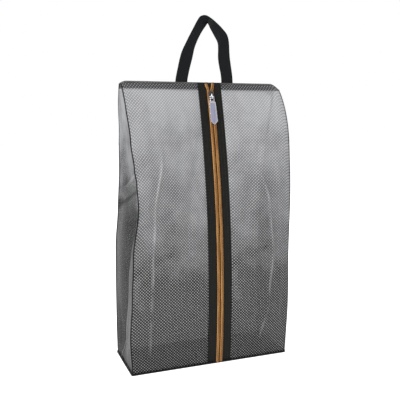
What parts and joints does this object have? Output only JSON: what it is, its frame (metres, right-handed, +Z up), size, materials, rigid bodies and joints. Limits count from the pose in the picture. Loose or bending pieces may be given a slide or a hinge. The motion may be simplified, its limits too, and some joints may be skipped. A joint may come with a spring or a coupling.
{
  "type": "shoe bag",
  "caption": "Upright box-shaped shoe bag of sheer mesh with a black base, a full-length zip down its front and a webbing handle on its top seam.",
  "frame": {"origin": "centre of the base, on the surface that the bag stands on", "axes": "+Z up along the bag's height, -Y out of the front with the zip, +X to the right seen from the front"},
  "size_m": [0.22, 0.0916, 0.4528],
  "materials": {
    "mesh": "sheer knitted polyester mesh, translucent, dark threads at 45 degrees",
    "black_cloth": "close-woven black polyester",
    "binding": "black woven tape",
    "zip_tape": "dark grey woven zip tape",
    "zip_coil": "orange tan nylon coil",
    "slider_metal": "bright plated zinc",
    "pull_metal": "satin plated zinc",
    "webbing": "black ribbed polyester webbing"
  },
  "bodies": {
    "root": {"front_mesh_left": "mesh", "front_mesh_right": "mesh", "back_mesh": "mesh", "gusset_left": "mesh", "gusset_right": "mesh", "base_panel": "black_cloth", "base_binding_front": "binding", "base_binding_back": "binding", "base_binding_left": "binding", "base_binding_right": "binding", "seam_tape_front_left": "binding", "seam_tape_front_right": "binding", "seam_tape_back_left": "binding", "seam_tape_back_right": "binding", "top_seam_tape": "binding", "zip_tape_left": "zip_tape", "zip_tape_right": "zip_tape", "zip_coil_left": "zip_coil", "zip_coil_right": "zip_coil", "handle_end_left": "webbing", "handle_end_right": "webbing"},
    "slider": {"zip_slider": "slider_metal"},
    "pull": {"pull_tab": "pull_metal"},
    "handle": {"handle_loop": "webbing"}
  },
  "joints": [
    {"name": "zip_run", "type": "hinge", "parent": "root", "child": "slider", "pos_m": [0.01, 0.92053, 0.08647], "axis": [1, 0, 0], "range_deg": [0, 18.4]},
    {"name": "pull_flip", "type": "hinge", "parent": "slider", "child": "pull", "pos_m": [0.01, -0.01202, 0.35094], "axis": [-1, 0, 0], "range_deg": [0, 170]},
    {"name": "handle_swing", "type": "hinge", "parent": "root", "child": "handle", "pos_m": [0.00425, -0.00038, 0.3726], "axis": [1, 0, 0], "range_deg": [-120, 120]}
  ]
}
